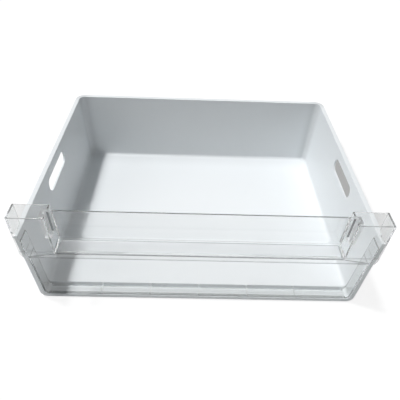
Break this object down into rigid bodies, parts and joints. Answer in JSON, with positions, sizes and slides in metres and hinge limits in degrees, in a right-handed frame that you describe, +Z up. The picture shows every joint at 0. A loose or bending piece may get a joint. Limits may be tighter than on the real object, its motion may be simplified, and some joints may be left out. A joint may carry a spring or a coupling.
{
  "type": "fridge drawer",
  "caption": "Open-topped white drawer tub with hand slots in its sides, closed by a clear push-fit front with a grip recess between raised ears.",
  "frame": {"origin": "middle of the overall box, at the level that the drawer stands on", "axes": "+X to the right as seen from the clear front, +Y from the front to the back, +Z up"},
  "size_m": [0.4124, 0.3194, 0.1458],
  "materials": {
    "white_plastic": "satin",
    "clear_plastic": "clear gloss"
  },
  "bodies": {
    "root": {"tub": "white_plastic", "clear_front": "clear_plastic"}
  },
  "joints": []
}
